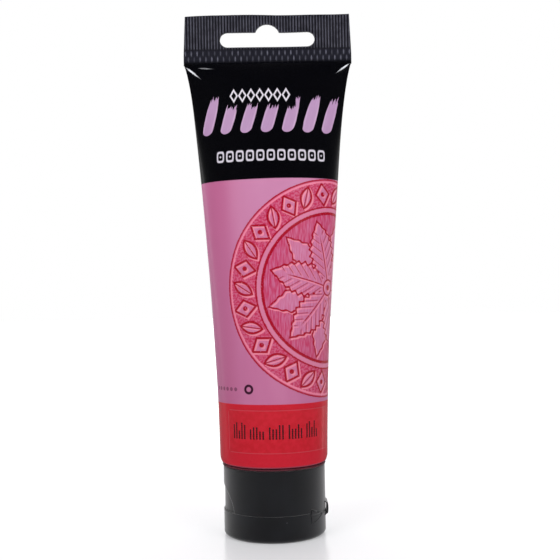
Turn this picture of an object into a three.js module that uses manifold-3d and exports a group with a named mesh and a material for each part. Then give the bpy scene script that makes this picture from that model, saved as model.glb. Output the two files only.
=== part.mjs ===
// Paint tube that stands on its flip-top cap, modelled as the separate pieces it is made of.
// Millimetres, +Z up. The foot of the cap is z = 0 and the tube's axis is the Z axis.
// The flattened, crimped end is at the top and lies along X. The front is towards -Y,
// the cap's hinge is towards +X and the thumb recess for opening it towards -X.

import * as THREE from 'three';
import { mergeVertices } from 'three/addons/utils/BufferGeometryUtils.js';
import Module from 'manifold-3d';

const wasm = await Module();
wasm.setup();

// ---------------------------------------------------------------- driving dimensions

const GAP = 0.3;                 // room kept between neighbouring pieces

const TUBE_R = 19;               // sleeve, round end
const SLEEVE_WALL = 0.5;
const SLEEVE_FOOT = 25.3;        // lower edge of the sleeve
const SLEEVE_ROUND = 2.9;        // rounding of that edge, measured up the tube
const SLEEVE_TUCK = 1.1;         // how far the rounding pulls the edge in
const CRIMP_FOOT = 167.3;        // where the two walls meet
const CRIMP_TOP = 184.5;
const CRIMP_HALF_WIDTH = 30.1;
const CRIMP_TOP_HALF_WIDTH = 29.5;
const CRIMP_THICKNESS = 1.1;

const SLOT_HALF_WIDTH = 17;      // hanging slot in the crimp
const SLOT_HEIGHT = 5.4;
const SLOT_Z = 175.5;            // middle of the slot
const SLOT_DOME_R = 4.45;        // round bay in the middle of the slot
const SLOT_DOME_RISE = 3;        // how far the bay stands above the slot

const HEAD_RIM_R = 18.2;         // visible rim of the tube head, between sleeve and cap
const HEAD_RIM_Z = 24.5;
const HEAD_SKIRT_TOP = 31;       // the head reaches this far up inside the sleeve
const HEAD_WALL = 0.85;
const NECK_R = 8.9;
const NECK_BORE_R = 6.5;
const NECK_END = 13;             // the neck points down, into the cap
const NECK_ROOT = 21.3;

const THREAD_PITCH = 3;
const THREAD_TURNS = 1.6;
const THREAD_HEIGHT = 1;
const THREAD_ROOT_WIDTH = 1.4;
const THREAD_CREST_WIDTH = 0.6;
const THREAD_START = 14.9;
const SOCKET_R = 10.3;           // wall of the threaded socket in the cap
const SOCKET_WALL = 1.6;
const SOCKET_TOP = 20.5;

const CAP_R = 17.9;
const CAP_WALL = 1.4;
const CAP_TOP = 24.2;
const SEAM_Z = 9.1;              // parting line between cap body and lid
const DECK_TOP = 10.9;
const NOZZLE_END = 4.6;
const NOZZLE_ROOT_R = 4.8;
const NOZZLE_TIP_R = 4;
const ORIFICE_R = 2.5;
const SEAT_R = 16;               // ring that centres the closed lid
const SEAT_DEPTH = 1;

const LID_FOOT_ROUND = 1.6;
const LID_FLOOR = 1.9;           // inner face of the lid's floor
const LID_RECESS = 0.5;          // hollow under the foot, inside the standing ring
const LID_RECESS_R = 13;
const PIN_R = 2.1;
const PIN_TIP_R = 1.7;
const PIN_TOP = 7.5;

const HINGE_Z = 8.1;             // level of the lid's turning axis
const WING_EDGE = 12.4;          // distance of a wing's outer edge from the middle plane
const WING_TIP = 6.9;            // where a wing runs out beside the strap
const WING_LOW = 5.9;
const WING_HIGH = 10.2;
const WING_FILM = 0.6;
const WING_SINK = 0.2;           // the films lie a little below the cap's surface
const STRAP_HALF_WIDTH = 4;
const STRAP_LOW = 7;
const STRAP_HIGH = 11.4;
const STRAP_BOW = 0.45;
const STRAP_THICKNESS = 0.3;     // at its ends; the bow makes the middle thicker

const THUMB_HALF_WIDTH = 11.3;
const THUMB_HEIGHT = 9;
const THUMB_DEPTH = 0.4;

const WASHER_THICKNESS = 1;
const WASHER_BORE_R = 3;
const FOIL_THICKNESS = 0.2;

const LABEL_LOW = 30.4;
const LABEL_HIGH = 44.9;
const LABEL_FROM = -52;          // degrees round from the front, towards +X
const LABEL_TO = 70;
const LABEL_THICKNESS = 0.1;

const ROUND_STEPS = 48;          // sides of the turned pieces
const LOOP_STEPS = 40;           // points round one section of the sleeve

// ---------------------------------------------------------------- materials

function finish(colour, roughness, metalness = 0) {
  return new THREE.MeshStandardMaterial({ color: colour, roughness, metalness });
}

const printedFilm = finish(0xb5708f, 0.32);
const crimpedFilm = finish(0x25222b, 0.38);
const clearPlastic = finish(0xd9cfd2, 0.4);
const blackPlastic = finish(0x1d1e21, 0.42);
const paint = finish(0xb3152a, 0.5);
const labelFilm = finish(0xc02235, 0.3);
const foam = finish(0xf1efe8, 0.9);
const foil = finish(0xc9cacc, 0.3, 1);

// ---------------------------------------------------------------- geometry helpers

/** Points of an arc in a profile, from angle `from` to `to` in degrees, both ends included. */
function arc(centreR, centreZ, radius, from, to, steps) {
  const points = [];
  for (let i = 0; i <= steps; i += 1) {
    const angle = THREE.MathUtils.degToRad(from + ((to - from) * i) / steps);
    points.push([centreR + radius * Math.cos(angle), centreZ + radius * Math.sin(angle)]);
  }
  return points;
}

/** Turned piece about Z from [radius, height] points listed anticlockwise. */
function turned(profile, steps = ROUND_STEPS) {
  const points = profile.map(([r, z]) => new THREE.Vector2(r, z));
  return new THREE.LatheGeometry(points, steps).rotateX(Math.PI / 2);
}

/** Turned ring: the profile is closed back to its first point. */
function turnedRing(profile, steps = ROUND_STEPS) {
  return turned([...profile, profile[0]], steps);
}

/** Prism along X from an outline of [y, z] points, between two X positions. */
function prismAlongX(outline, fromX, toX) {
  const shape = new THREE.Shape(outline.map(([y, z]) => new THREE.Vector2(y, z)));
  const geometry = new THREE.ExtrudeGeometry(shape, { depth: toX - fromX, bevelEnabled: false });
  geometry.rotateX(Math.PI / 2).rotateZ(Math.PI / 2);
  return geometry.translate(fromX, 0, 0);
}

/** Closed body through a row of loops with equally many points, with a flat face at each end.
    Each loop runs anticlockwise when it is looked at along the direction of the row. */
function loft(loops) {
  const count = loops[0].length;
  const positions = [];
  const triangles = [];
  for (const loop of loops) {
    for (const point of loop) positions.push(point.x, point.y, point.z);
  }
  for (let i = 0; i + 1 < loops.length; i += 1) {
    for (let j = 0; j < count; j += 1) {
      const here = i * count + j;
      const beside = i * count + ((j + 1) % count);
      triangles.push(here, here + count, beside);
      triangles.push(beside, here + count, beside + count);
    }
  }
  const last = (loops.length - 1) * count;
  for (let j = 1; j + 1 < count; j += 1) {
    triangles.push(0, j, j + 1);
    triangles.push(last, last + j + 1, last + j);
  }
  const geometry = new THREE.BufferGeometry();
  geometry.setAttribute('position', new THREE.Float32BufferAttribute(positions, 3));
  geometry.setIndex(triangles);
  return geometry;
}

/** Solid for joining and cutting, from any closed geometry. */
function solid(geometry) {
  const bare = new THREE.BufferGeometry();
  bare.setAttribute('position', geometry.getAttribute('position'));
  if (geometry.index) bare.setIndex(geometry.index);
  const merged = mergeVertices(bare, 1e-4);
  const corners = merged.index.array;
  const kept = [];
  for (let i = 0; i < corners.length; i += 3) {
    const [a, b, c] = corners.slice(i, i + 3);
    if (a !== b && b !== c && c !== a) kept.push(a, b, c);
  }
  return new wasm.Manifold(new wasm.Mesh({
    numProp: 3,
    vertProperties: new Float32Array(merged.getAttribute('position').array),
    triVerts: new Uint32Array(kept),
  }));
}

/** Geometry of a solid, ready for a mesh. */
function geometryOf(body) {
  const mesh = body.getMesh();
  const geometry = new THREE.BufferGeometry();
  geometry.setAttribute('position', new THREE.BufferAttribute(mesh.vertProperties, 3));
  geometry.setIndex(new THREE.BufferAttribute(mesh.triVerts, 1));
  geometry.computeVertexNormals();
  return geometry;
}

// ---------------------------------------------------------------- the sleeve's form

/** Half width, half depth and corner sharpness of the sleeve at height z.
    It is round at the head and closes to a flat seam at the crimp: the sheet's girth is
    nearly constant, so the width grows as the depth falls. */
function sleeveSection(z) {
  const rise = THREE.MathUtils.clamp((z - HEAD_RIM_Z) / (CRIMP_FOOT - HEAD_RIM_Z), 0, 1);
  const spread = 0.86 * rise ** 1.55 + 0.14 * rise ** 20;
  const seamHalf = CRIMP_THICKNESS / 2;
  const tuck = SLEEVE_TUCK * (1 - Math.sqrt(1 - Math.max(0, 1 - (z - SLEEVE_FOOT) / SLEEVE_ROUND) ** 2));
  return {
    halfWidth: TUBE_R + (CRIMP_HALF_WIDTH - TUBE_R) * spread - tuck,
    halfDepth: seamHalf + (TUBE_R - seamHalf) * (1 - rise ** 1.8) ** 0.58 - tuck,
    sharpness: 1 + 0.7 * THREE.MathUtils.smoothstep(rise, 0.55, 1),
  };
}

/** One section of the sleeve as a loop, anticlockwise from above, drawn in by `inset`. */
function sleeveLoop(z, inset = 0) {
  const { halfWidth, halfDepth, sharpness } = sleeveSection(z);
  const loop = [];
  for (let i = 0; i < LOOP_STEPS; i += 1) {
    const angle = (2 * Math.PI * i) / LOOP_STEPS;
    const across = Math.sin(angle);
    const x = (halfWidth - inset * sharpness) * Math.cos(angle);
    const y = (halfDepth - inset) * Math.sign(across) * Math.abs(across) ** sharpness;
    loop.push(new THREE.Vector3(x, y, z));
  }
  return loop;
}

/** Round loop with the same number of points as a section of the sleeve. */
function roundLoop(radius, z) {
  const loop = [];
  for (let i = 0; i < LOOP_STEPS; i += 1) {
    const angle = (2 * Math.PI * i) / LOOP_STEPS;
    loop.push(new THREE.Vector3(radius * Math.cos(angle), radius * Math.sin(angle), z));
  }
  return loop;
}

/** Heights from `low` to `high`, closer together towards both ends. */
function heights(low, high, count) {
  const list = [];
  for (let i = 0; i <= count; i += 1) {
    list.push(low + ((high - low) * (1 - Math.cos((Math.PI * i) / count))) / 2);
  }
  return list;
}

// ---------------------------------------------------------------- pieces of the tube

/** Thin-walled sleeve, open at the head and closed where its walls meet at the crimp. */
function sleeve() {
  const innerTop = CRIMP_FOOT - 2.6;
  const bend = SLEEVE_FOOT + SLEEVE_ROUND;
  const outside = [...heights(SLEEVE_FOOT, bend, 4), ...heights(bend, CRIMP_FOOT - GAP, 20).slice(1)];
  const inside = [...heights(SLEEVE_FOOT, bend, 3), ...heights(bend, innerTop, 12).slice(1)];
  const outerLoops = outside.reverse().map((z) => sleeveLoop(z));
  const innerLoops = inside.map((z) => sleeveLoop(z, SLEEVE_WALL));
  return loft([...outerLoops, ...innerLoops]);
}

/** Outline of the hanging slot: a long round-ended slot with a round bay above its middle. */
function slotOutline() {
  const half = SLOT_HEIGHT / 2;
  const end = SLOT_HALF_WIDTH - half;
  const domeZ = SLOT_Z + half + SLOT_DOME_RISE - SLOT_DOME_R;
  const dip = Math.asin((SLOT_Z + half - domeZ) / SLOT_DOME_R);
  const shape = new THREE.Shape();
  shape.moveTo(-end, SLOT_Z - half);
  shape.lineTo(end, SLOT_Z - half);
  shape.absarc(end, SLOT_Z, half, -Math.PI / 2, Math.PI / 2);
  shape.absarc(0, domeZ, SLOT_DOME_R, dip, Math.PI - dip);
  shape.absarc(-end, SLOT_Z, half, Math.PI / 2, (3 * Math.PI) / 2);
  return shape;
}

/** Flat welded end of the sleeve, slightly narrower at its top, with the hanging slot. */
function crimpedEnd() {
  const outline = new THREE.Shape();
  outline.moveTo(-CRIMP_HALF_WIDTH, CRIMP_FOOT);
  outline.lineTo(CRIMP_HALF_WIDTH, CRIMP_FOOT);
  outline.lineTo(CRIMP_HALF_WIDTH, CRIMP_FOOT + 3);
  outline.lineTo(CRIMP_TOP_HALF_WIDTH, CRIMP_TOP);
  outline.lineTo(-CRIMP_TOP_HALF_WIDTH, CRIMP_TOP);
  outline.lineTo(-CRIMP_HALF_WIDTH, CRIMP_FOOT + 3);
  outline.holes.push(slotOutline());
  const plate = new THREE.ExtrudeGeometry(outline, {
    depth: CRIMP_THICKNESS, bevelEnabled: false, curveSegments: 10,
  });
  return plate.translate(0, 0, -CRIMP_THICKNESS / 2).rotateX(Math.PI / 2);
}

/** Helical thread ridge, right-handed, run out at both ends. `outward` ridges stand out from
    the radius `rootR`, the others stand in from it. `phase` shifts it along Z. */
function threadRidge(rootR, outward, phase) {
  const steps = Math.round(THREAD_TURNS * 32);
  const direction = outward ? 1 : -1;
  const sections = [];
  for (let i = 0; i <= steps; i += 1) {
    const turn = (i / steps) * THREAD_TURNS;
    const angle = turn * 2 * Math.PI;
    const runOut = Math.min(1, 0.15 + (8 * Math.min(i, steps - i)) / steps);
    const crestR = rootR + direction * THREAD_HEIGHT * runOut;
    const buriedR = rootR - direction * 0.4;
    const z = THREAD_START + phase + turn * THREAD_PITCH;
    const section = [
      [buriedR, z - THREAD_ROOT_WIDTH / 2],
      [crestR, z - THREAD_CREST_WIDTH / 2],
      [crestR, z + THREAD_CREST_WIDTH / 2],
      [buriedR, z + THREAD_ROOT_WIDTH / 2],
    ];
    if (!outward) section.reverse();
    sections.push(section.map(([r, height]) => (
      new THREE.Vector3(r * Math.cos(angle), r * Math.sin(angle), height)
    )));
  }
  return loft(sections);
}

/** Moulded head: a skirt inside the sleeve, a cone and the threaded neck. */
function tubeHead() {
  const skirtR = TUBE_R - SLEEVE_WALL - GAP;
  const tuckR = skirtR - SLEEVE_TUCK;
  const bend = SLEEVE_FOOT + SLEEVE_ROUND;
  const coneEdgeR = 15.6;
  const body = solid(turnedRing([
    [NECK_BORE_R, NECK_END],
    [NECK_R - 0.4, NECK_END],
    [NECK_R, NECK_END + 0.4],
    [NECK_R, NECK_ROOT],
    [coneEdgeR, HEAD_RIM_Z],
    [HEAD_RIM_R, HEAD_RIM_Z],
    [HEAD_RIM_R, SLEEVE_FOOT - GAP],
    [tuckR, SLEEVE_FOOT - GAP],
    [skirtR - 0.25, bend - 1.2],
    [skirtR, bend + 0.3],
    [skirtR, HEAD_SKIRT_TOP],
    [skirtR - HEAD_WALL, HEAD_SKIRT_TOP],
    [skirtR - HEAD_WALL, bend + 0.3],
    [tuckR - HEAD_WALL, SLEEVE_FOOT + 0.9],
    [NECK_BORE_R, NECK_ROOT + 0.9],
  ]));
  return geometryOf(body.add(solid(threadRidge(NECK_R, true, 0))));
}

/** The paint: fills the sleeve, the cone and the neck down to the foil. */
function paintFill() {
  const inset = SLEEVE_WALL + GAP;
  const skirtR = TUBE_R - SLEEVE_WALL - GAP - HEAD_WALL - GAP;
  const neckR = NECK_BORE_R - GAP;
  const loops = [
    roundLoop(neckR, NECK_END),
    roundLoop(neckR, NECK_ROOT + 1.1),
    roundLoop(skirtR - SLEEVE_TUCK, SLEEVE_FOOT + 1.3),
    roundLoop(skirtR, SLEEVE_FOOT + SLEEVE_ROUND + 0.7),
    roundLoop(skirtR, HEAD_SKIRT_TOP + GAP),
    ...heights(HEAD_SKIRT_TOP + GAP + 0.1, CRIMP_FOOT - 8, 9).map((z) => sleeveLoop(z, inset)),
  ];
  return loft(loops.reverse());
}

/** Peel-off membrane under the neck's end. */
function foilSeal() {
  const top = NECK_END - GAP;
  return turned([[0, top - FOIL_THICKNESS], [NECK_R, top - FOIL_THICKNESS], [NECK_R, top], [0, top]], 32);
}

/** Rectangular adhesive label low on the front of the sleeve. */
function stickLabel() {
  const steps = 20;
  const sections = [];
  for (let i = 0; i <= steps; i += 1) {
    const angle = THREE.MathUtils.degToRad(LABEL_FROM + ((LABEL_TO - LABEL_FROM) * i) / steps);
    const corners = [
      [GAP, LABEL_LOW],
      [GAP + LABEL_THICKNESS, LABEL_LOW],
      [GAP + LABEL_THICKNESS, LABEL_HIGH],
      [GAP, LABEL_HIGH],
    ];
    sections.push(corners.map(([off, z]) => {
      const { halfWidth, halfDepth } = sleeveSection(z);
      return new THREE.Vector3((halfWidth + off) * Math.sin(angle), -(halfDepth + off) * Math.cos(angle), z);
    }));
  }
  return loft(sections);
}

// ---------------------------------------------------------------- pieces of the cap

/** Soft ring between the neck and the cap's deck. */
function sealWasher() {
  const low = DECK_TOP + GAP;
  const high = low + WASHER_THICKNESS;
  return turnedRing([[WASHER_BORE_R, low], [NECK_R, low], [NECK_R, high], [WASHER_BORE_R, high]], 32);
}

/** Outline of one hinge wing in [y, z], grown by `margin`; `side` is -1 in front, 1 behind. */
function wingOutline(side, margin) {
  const outline = [
    [WING_EDGE + margin, WING_LOW - margin * 1.2],
    [WING_EDGE + margin, WING_HIGH + margin * 1.4],
    [WING_EDGE - 3.2, HINGE_Z + 0.45 + margin],
    [WING_TIP - margin * 1.6, HINGE_Z + 0.15],
    [WING_TIP - margin * 1.6, HINGE_Z - 0.15],
  ];
  return outline.map(([y, z]) => [side * y, z]);
}

/** Both openings that the hinge wings lie in. */
function wingWindows() {
  const front = solid(prismAlongX(wingOutline(-1, GAP), 8, 20));
  return front.add(solid(prismAlongX(wingOutline(1, GAP), 8, 20)));
}

/** Arched shallow recess for the thumb, as the solid to cut away. */
function thumbCut() {
  const arch = [];
  const steps = 16;
  for (let i = 0; i <= steps; i += 1) {
    const angle = (Math.PI * i) / steps;
    arch.push([THUMB_HALF_WIDTH * Math.cos(angle), SEAM_Z + THUMB_HEIGHT * Math.sin(angle)]);
  }
  const ring = turnedRing([
    [CAP_R - THUMB_DEPTH, SEAM_Z - 1],
    [CAP_R + 1, SEAM_Z - 1],
    [CAP_R + 1, CAP_TOP],
    [CAP_R - THUMB_DEPTH, CAP_TOP],
  ]);
  return solid(ring).intersect(solid(prismAlongX(arch, -CAP_R - 1, -8)));
}

/** Cap body: skirt, deck with nozzle, threaded socket and the tongue that carries the hinge. */
function capBody() {
  const partingZ = SEAM_Z + GAP / 2;
  const tongueZ = HINGE_Z + GAP / 2;
  const skirt = solid(turnedRing([
    [CAP_R - CAP_WALL, tongueZ],
    [CAP_R, tongueZ],
    [CAP_R, CAP_TOP - 0.4],
    [CAP_R - 0.4, CAP_TOP],
    [CAP_R - CAP_WALL, CAP_TOP],
  ]));
  const below = new THREE.BoxGeometry(50, 50, 4).translate(0, 0, partingZ - 2);
  const tongue = new THREE.BoxGeometry(12, 2 * WING_EDGE, 6).translate(15, 0, partingZ - 2);
  const inside = solid(turnedRing([
    [ORIFICE_R, NOZZLE_END],
    [NOZZLE_TIP_R, NOZZLE_END],
    [NOZZLE_ROOT_R, partingZ],
    [SEAT_R - 0.9, partingZ],
    [SEAT_R - 0.9, partingZ - SEAT_DEPTH],
    [SEAT_R, partingZ - SEAT_DEPTH],
    [SEAT_R, partingZ],
    [CAP_R - CAP_WALL / 2, partingZ],
    [CAP_R - CAP_WALL / 2, DECK_TOP],
    [SOCKET_R + SOCKET_WALL, DECK_TOP],
    [SOCKET_R + SOCKET_WALL, SOCKET_TOP],
    [SOCKET_R + 0.3, SOCKET_TOP],
    [SOCKET_R, SOCKET_TOP - 0.3],
    [SOCKET_R, DECK_TOP],
    [ORIFICE_R, DECK_TOP],
  ]));
  const thread = solid(threadRidge(SOCKET_R, false, -THREAD_PITCH / 2));
  const body = skirt
    .subtract(solid(below).subtract(solid(tongue)))
    .add(inside)
    .add(thread)
    .subtract(wingWindows())
    .subtract(thumbCut());
  return geometryOf(body);
}

/** Lid: standing foot, skirt and the pin that plugs the nozzle. */
function capLid() {
  const partingZ = SEAM_Z - GAP / 2;
  const wallR = CAP_R - CAP_WALL + 0.1;
  const shell = solid(turned([
    [0, LID_RECESS],
    [LID_RECESS_R, LID_RECESS],
    [LID_RECESS_R + 0.5, 0],
    ...arc(CAP_R - LID_FOOT_ROUND, LID_FOOT_ROUND, LID_FOOT_ROUND, -90, 0, 5),
    [CAP_R, partingZ],
    [wallR, partingZ],
    [wallR, LID_FLOOR + 0.6],
    [wallR - 0.6, LID_FLOOR],
    [PIN_R + 0.5, LID_FLOOR],
    [PIN_R, LID_FLOOR + 0.5],
    [PIN_R, PIN_TOP - 1.2],
    [PIN_TIP_R, PIN_TOP],
    [0, PIN_TOP],
  ]));
  const tongue = new THREE.BoxGeometry(12, 2 * (WING_EDGE + GAP), 4);
  tongue.translate(15, 0, HINGE_Z - GAP / 2 + 2);
  return geometryOf(shell.subtract(solid(tongue)).subtract(wingWindows()));
}

/** One triangular film of the hinge, curved like the cap's wall. */
function hingeWing(side) {
  const outerR = CAP_R - WING_SINK;
  const ring = turnedRing([
    [outerR - WING_FILM, WING_LOW - 1],
    [outerR, WING_LOW - 1],
    [outerR, WING_HIGH + 1],
    [outerR - WING_FILM, WING_HIGH + 1],
  ]);
  return geometryOf(solid(ring).intersect(solid(prismAlongX(wingOutline(side, 0), 8, 20))));
}

/** Bowed strap that joins body and lid outside the wall. */
function hingeStrap() {
  const innerX = CAP_R + GAP;
  const outerX = innerX + STRAP_THICKNESS;
  const middleZ = (STRAP_LOW + STRAP_HIGH) / 2;
  const shape = new THREE.Shape();
  shape.moveTo(innerX, STRAP_LOW);
  shape.lineTo(outerX, STRAP_LOW);
  shape.quadraticCurveTo(outerX + 2 * STRAP_BOW, middleZ, outerX, STRAP_HIGH);
  shape.lineTo(innerX, STRAP_HIGH);
  shape.quadraticCurveTo(innerX + STRAP_BOW, middleZ, innerX, STRAP_LOW);
  const band = new THREE.ExtrudeGeometry(shape, {
    depth: 2 * STRAP_HALF_WIDTH, bevelEnabled: false, curveSegments: 8,
  });
  return band.translate(0, 0, -STRAP_HALF_WIDTH).rotateX(Math.PI / 2);
}

// ---------------------------------------------------------------- assembly

function piece(name, geometry, material) {
  const mesh = new THREE.Mesh(geometry, material);
  mesh.name = name;
  return mesh;
}

const tube = new THREE.Group();
tube.add(
  piece('sleeve', sleeve(), printedFilm),
  piece('crimped_end', crimpedEnd(), crimpedFilm),
  piece('tube_head', tubeHead(), clearPlastic),
  piece('paint_fill', paintFill(), paint),
  piece('foil_seal', foilSeal(), foil),
  piece('stick_label', stickLabel(), labelFilm),
);

const closure = new THREE.Group();
closure.add(
  piece('seal_washer', sealWasher(), foam),
  piece('cap_body', capBody(), blackPlastic),
  piece('cap_lid', capLid(), blackPlastic),
  piece('hinge_strap', hingeStrap(), blackPlastic),
  piece('hinge_wing_front', hingeWing(-1), blackPlastic),
  piece('hinge_wing_rear', hingeWing(1), blackPlastic),
);

const paintTube = new THREE.Group();
paintTube.add(tube, closure);

export default paintTube;
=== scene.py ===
# %% [markdown]
# # A paint tube that stands on its cap
#
# A squeeze tube of artists' colour is one thin plastic sheet, rolled round, welded to a moulded
# head and pressed flat at its far end. This lesson builds how it looks around a finished CAD
# model: the CAD says where each body is and how it moves, and the cells below make the visible
# pieces and their finishes. Nothing here moves the CAD.

import math

import bmesh
import bpy
import numpy as np
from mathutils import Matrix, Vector


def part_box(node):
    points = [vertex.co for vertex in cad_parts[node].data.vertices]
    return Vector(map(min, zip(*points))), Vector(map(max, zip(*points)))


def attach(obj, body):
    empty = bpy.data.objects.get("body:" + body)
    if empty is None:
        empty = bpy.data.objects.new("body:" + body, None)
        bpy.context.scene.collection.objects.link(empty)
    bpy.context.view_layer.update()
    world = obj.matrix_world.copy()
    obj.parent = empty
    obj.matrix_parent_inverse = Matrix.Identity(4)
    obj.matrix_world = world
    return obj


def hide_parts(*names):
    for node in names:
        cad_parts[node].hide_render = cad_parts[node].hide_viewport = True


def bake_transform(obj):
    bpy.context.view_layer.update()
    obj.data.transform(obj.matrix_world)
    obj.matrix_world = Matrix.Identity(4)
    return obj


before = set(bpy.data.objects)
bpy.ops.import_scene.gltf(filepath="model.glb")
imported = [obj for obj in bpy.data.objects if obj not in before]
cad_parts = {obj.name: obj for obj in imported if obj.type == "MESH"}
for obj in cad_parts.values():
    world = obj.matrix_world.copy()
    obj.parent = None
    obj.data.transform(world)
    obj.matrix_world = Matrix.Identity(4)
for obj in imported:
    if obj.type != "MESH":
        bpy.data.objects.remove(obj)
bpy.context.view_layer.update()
scene = bpy.context.scene
MM = 0.001  # everything below is worked out in millimetres and stored in metres
print("nodes:", sorted(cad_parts))


def reach(node):
    """Lowest and highest corner of a CAD node, in millimetres."""
    low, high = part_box(node)
    return np.array(low) / MM, np.array(high) / MM


# %% [markdown]
# ## Camera
#
# The tube is looked at from the front, from about a forearm's length, with the lens at the
# height of the tube's lower half. A camera a little off level makes the tube lean a degree, so
# the camera is rolled by that much. The colours are shown as they are, without a film curve.

# %% Camera
CAMERA_PLACE = (3.0, -330, 80)
CAMERA_AIM = (3.0, 0, 89.15)
CAMERA_ROLL = 0.96  # degrees
CAMERA_LENS = 59.5

scene.view_settings.view_transform = "Standard"
camera = bpy.data.objects.new("camera", bpy.data.cameras.new("camera"))
scene.collection.objects.link(camera)
scene.camera = camera
camera.data.lens = CAMERA_LENS
camera.data.sensor_width = 36
camera.data.clip_start = 0.01
camera.location = Vector(CAMERA_PLACE) * MM
sight = Vector(CAMERA_AIM) - Vector(CAMERA_PLACE)
tilt = math.atan2(sight.z, -CAMERA_PLACE[1])
camera.rotation_euler = (math.pi / 2 + tilt, math.radians(CAMERA_ROLL), 0)
print("camera tilt in degrees:", round(math.degrees(tilt), 2))

# %% [markdown]
# ## Shader maths in Python
#
# A finish is a net of nodes, and most of it is arithmetic on masks. Writing that arithmetic as
# Python keeps it readable: a `Wire` holds the output of a node, and `a + b`, `1 - mask` or
# `x > 3` on wires adds the Math node that does it; `a | b` keeps the larger of two masks, which
# joins them. Every other node comes from one method, which takes the node's type, its settings
# and what goes into its sockets.

# %% Wires and finishes
def math_operator(operation, swapped=False):
    """Python operator that adds a Math node; swapped where the wire stands on the right."""
    def added(wire, *other):
        values = (*other, wire) if swapped else (wire, *other)
        return wire.finish.math(operation, *values)
    return added


class Wire:
    """The output of a node. Arithmetic on wires adds Math nodes."""

    def __init__(self, finish, socket):
        self.finish = finish
        self.socket = socket

    def __getitem__(self, name):
        """Another output of the same node."""
        return Wire(self.finish, self.socket.node.outputs[name])

    __add__ = __radd__ = math_operator("ADD")
    __sub__ = math_operator("SUBTRACT")
    __rsub__ = math_operator("SUBTRACT", swapped=True)
    __mul__ = __rmul__ = math_operator("MULTIPLY")
    __truediv__ = math_operator("DIVIDE")
    __pow__ = math_operator("POWER")
    __gt__ = math_operator("GREATER_THAN")
    __lt__ = math_operator("LESS_THAN")
    __or__ = math_operator("MAXIMUM")
    __abs__ = math_operator("ABSOLUTE")


class Finish:
    """The node net of a material, or of the room around it."""

    def __init__(self, owner):
        owner.use_nodes = True
        self.owner = owner
        self.tree = owner.node_tree
        shaders = ("Principled BSDF", "Background")
        self.shader = next(n for n in self.tree.nodes if n.name in shaders)

    def node(self, kind, settings=None, sockets=None):
        """Adds a node: its settings first, then the value or the wire of each socket."""
        made = self.tree.nodes.new("ShaderNode" + kind)
        for key, value in (settings or {}).items():
            setattr(made, key, value)
        for key, value in (sockets or {}).items():
            self.plug(made, key, value)
        return Wire(self, next(s for s in made.outputs if s.enabled))

    def plug(self, node, key, value):
        """Gives a socket its value or its wire."""
        if isinstance(key, int):
            socket = node.inputs[key]
        else:
            socket = next(s for s in node.inputs if s.enabled and key in (s.name, s.identifier))
        if isinstance(value, Wire):
            self.tree.links.new(value.socket, socket)
        else:
            socket.default_value = value

    def math(self, operation, *values):
        return self.node("Math", {"operation": operation}, dict(enumerate(values)))

    def span(self, x, y):
        """Length of a step of x and y."""
        return self.math("SQRT", x * x + y * y)

    def ramp(self, value, low, high):
        """0 below low and 1 above high, with a smooth passage; low may be the larger."""
        ends = {"Value": value, "From Min": low, "From Max": high}
        return self.node("MapRange", {"interpolation_type": "SMOOTHSTEP"}, ends)

    def mix(self, share, first, second):
        """Colour between two colours."""
        return self.node("Mix", {"data_type": "RGBA"}, {"Factor": share, "A": first, "B": second})

    def flat_noise(self, x, y, scale, detail=2.0):
        """Soft noise between about 0.3 and 0.7 over two wires."""
        at = self.node("CombineXYZ", {}, {"X": x, "Y": y})
        return self.node("TexNoise", {}, {"Vector": at, "Scale": scale, "Detail": detail})["Fac"]

    def solid_noise(self, scale, detail=3, distortion=0):
        """Soft noise through the solid of a piece."""
        spot = self.node("TexCoord")["Object"]
        look = {"Vector": spot, "Scale": scale, "Detail": detail, "Distortion": distortion}
        return self.node("TexNoise", {}, look)["Fac"]

    def luck(self, number):
        """A number between 0 and 1 that belongs to a whole number."""
        return self.node("TexWhiteNoise", {"noise_dimensions": "1D"}, {"W": number})["Value"]

    def bump(self, height, strength, depth):
        """Normal of a relief too shallow to model, with its depth in millimetres."""
        relief = {"Strength": strength, "Distance": depth * MM, "Height": height}
        return self.node("Bump", {}, relief)

    def surface(self, **sockets):
        """Sets sockets of the shader, named with underscores for spaces."""
        for key, value in sockets.items():
            self.plug(self.shader, key.replace("_", " "), value)


def new_finish(name):
    return Finish(bpy.data.materials.new(name))


def ink(red, green, blue):
    """Colour from the 0 to 255 numbers of a screen, as the linear numbers that a node takes."""
    shares = [c / 255 for c in (red, green, blue)]
    linear = [c / 12.92 if c < 0.04045 else ((c + 0.055) / 1.055) ** 2.4 for c in shares]
    return (*linear, 1)


print("mauve in linear light:", [round(c, 3) for c in ink(195, 120, 160)])

# %% [markdown]
# ## Studio
#
# A product is usually stood on white paper in soft light. Glossy black plastic shows whatever
# is in front of it, so the room is dark on the camera's side, lighter behind and brightest
# straight behind: the black print stays black and the edges of the tube turn pale. For the same
# reason the paper is pale to the eye and nearly black to reflections. The large lamps that light
# the colours are kept out of reflections, and only narrow ones may show in the gloss.

# %% White room and floor
FRONT_GLOW = 0.02
SIDE_GLOW = 0.05
BACK_GLOW = 0.35
HORIZON_GLOW = 1.2
FLOOR_R = 6  # metres
DIMMED_IN_GLOSS = 0.88  # share of the paper's light that reflections lose
BLACK = (0, 0, 0, 1)
WHITE = (1, 1, 1, 1)

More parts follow.
